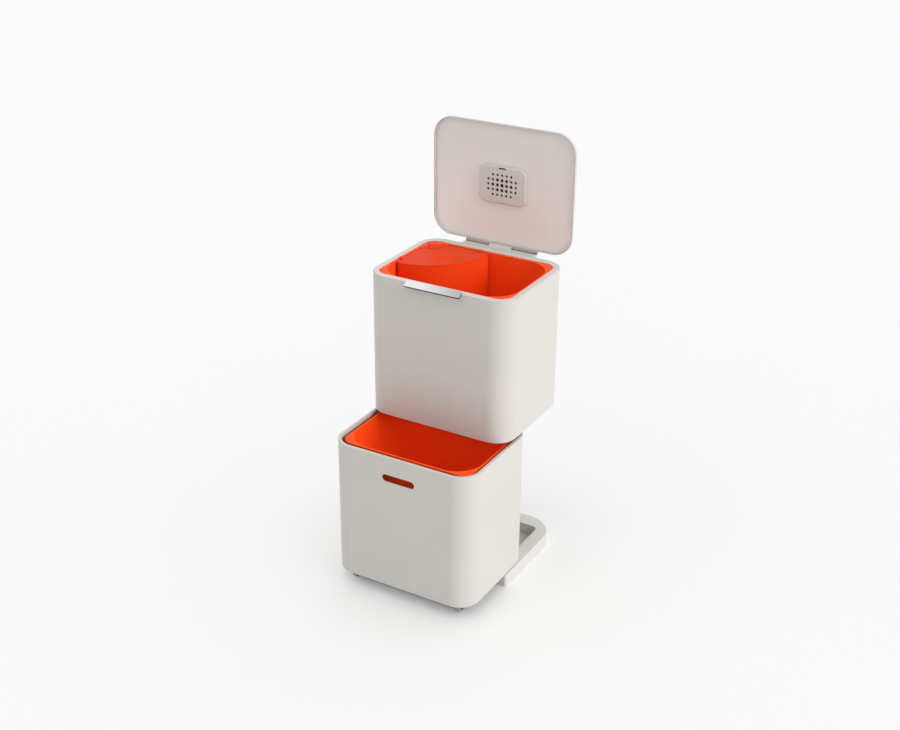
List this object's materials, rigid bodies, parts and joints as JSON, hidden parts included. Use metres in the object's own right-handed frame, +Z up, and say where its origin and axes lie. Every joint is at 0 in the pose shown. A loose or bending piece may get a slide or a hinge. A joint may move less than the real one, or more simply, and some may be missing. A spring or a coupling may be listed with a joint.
{
  "type": "two-tier recycling bin",
  "caption": "Free-standing stacked kitchen bin: lidded upper bin with liner, corner food caddy and odour filter, over a roll-out lower drawer with liner on a base frame.",
  "frame": {"origin": "on the floor, under the middle of the upper bin, on the underside of the base frame", "axes": "+X to the right seen from the front, -Y to the front, +Z up"},
  "size_m": [0.411, 0.5175, 1.1135],
  "materials": {
    "shell_paint": "moulded and lacquered, warm light grey, satin",
    "trim_plastic": "moulded warm light grey, satin",
    "base_plastic": "moulded warm light grey, fine grain",
    "column_paint": "powder coated grey",
    "liner_orange": "moulded orange, satin",
    "filter_black": "open carbon foam",
    "lever_chrome": "bright plated, lightly brushed",
    "chassis_grey": "moulded dark grey",
    "wheel_rubber": "matte tread",
    "pad_rubber": "matte",
    "steel": "zinc plated"
  },
  "bodies": {
    "stand": {"base_frame": "base_plastic", "base_pad_1": "pad_rubber", "base_pad_2": "pad_rubber", "base_pad_3": "pad_rubber", "base_pad_4": "pad_rubber", "back_column": "column_paint", "column_screw_1": "steel", "column_screw_2": "steel", "column_screw_3": "steel", "column_screw_4": "steel", "upper_shell": "shell_paint", "rim_ring": "trim_plastic", "hinge_bracket": "trim_plastic", "hinge_pin": "steel", "bracket_screw_1": "steel", "bracket_screw_2": "steel", "bracket_screw_3": "steel", "bracket_screw_4": "steel", "release_bracket": "trim_plastic", "release_pin": "steel"},
    "lid": {"lid_cover": "shell_paint", "lid_panel": "trim_plastic", "lid_hinge_leaf": "trim_plastic"},
    "filter": {"filter_cover": "trim_plastic", "filter_pad": "filter_black"},
    "release": {"release_lever": "lever_chrome"},
    "upper_bucket": {"upper_liner": "liner_orange"},
    "caddy": {"food_caddy": "liner_orange", "caddy_hinge_pin": "steel"},
    "caddy_cover": {"caddy_lid": "liner_orange"},
    "drawer": {"drawer_shell": "shell_paint", "drawer_chassis": "chassis_grey", "front_axle_left": "steel", "front_axle_right": "steel", "rear_axle_left": "steel", "rear_axle_right": "steel"},
    "drawer_bucket": {"drawer_liner": "liner_orange"},
    "front_roller_left": {"front_wheel_left": "wheel_rubber"},
    "front_roller_right": {"front_wheel_right": "wheel_rubber"},
    "rear_roller_left": {"rear_wheel_left": "wheel_rubber"},
    "rear_roller_right": {"rear_wheel_right": "wheel_rubber"}
  },
  "joints": [
    {"name": "lid_hinge", "type": "hinge", "parent": "stand", "child": "lid", "pos_m": [0, 0.17, 0.7865], "axis": [1, 0, 0], "range_deg": [0, 90]},
    {"name": "filter_release", "type": "slide", "parent": "lid", "child": "filter", "axis": [0, -1, 0], "range_m": [0, 0.03]},
    {"name": "release_lever", "type": "hinge", "parent": "stand", "child": "release", "pos_m": [0, -0.1605, 0.7865], "axis": [1, 0, 0], "range_deg": [0, 10], "stiffness_Nm_per_rad": 0.6},
    {"name": "upper_liner_lift", "type": "slide", "parent": "stand", "child": "upper_bucket", "axis": [0, 0, 1], "range_m": [0, 0.39]},
    {"name": "caddy_lift", "type": "slide", "parent": "upper_bucket", "child": "caddy", "axis": [0, 0, 1], "range_m": [0, 0.165]},
    {"name": "caddy_lid_hinge", "type": "hinge", "parent": "caddy", "child": "caddy_cover", "pos_m": [-0.14418, 0.09218, 0.791], "axis": [-0.7071, -0.7071, 0], "range_deg": [0, 50]},
    {"name": "drawer_slide", "type": "slide", "parent": "stand", "child": "drawer", "axis": [0, 1, 0], "range_m": [0, 0.173]},
    {"name": "drawer_liner_lift", "type": "slide", "parent": "drawer", "child": "drawer_bucket", "axis": [0, 0, 1], "range_m": [0, 0.01]},
    {"name": "front_wheel_left_spin", "type": "hinge", "parent": "drawer", "child": "front_roller_left", "pos_m": [-0.1545, -0.288, 0.014], "axis": [1, 0, 0], "range_deg": [-720, 0]},
    {"name": "front_wheel_right_spin", "type": "hinge", "parent": "drawer", "child": "front_roller_right", "pos_m": [0.1545, -0.288, 0.014], "axis": [1, 0, 0], "range_deg": [-720, 0]},
    {"name": "rear_wheel_left_spin", "type": "hinge", "parent": "drawer", "child": "rear_roller_left", "pos_m": [-0.1545, -0.093, 0.0145], "axis": [1, 0, 0], "range_deg": [-840, 0]},
    {"name": "rear_wheel_right_spin", "type": "hinge", "parent": "drawer", "child": "rear_roller_right", "pos_m": [0.1545, -0.093, 0.0145], "axis": [1, 0, 0], "range_deg": [-840, 0]}
  ],
  "couplings": [
    {"joint": "front_wheel_left_spin", "follows": "drawer_slide", "rad_per_m": -71.429},
    {"joint": "front_wheel_right_spin", "follows": "drawer_slide", "rad_per_m": -71.429},
    {"joint": "rear_wheel_left_spin", "follows": "drawer_slide", "rad_per_m": -83.333},
    {"joint": "rear_wheel_right_spin", "follows": "drawer_slide", "rad_per_m": -83.333}
  ]
}
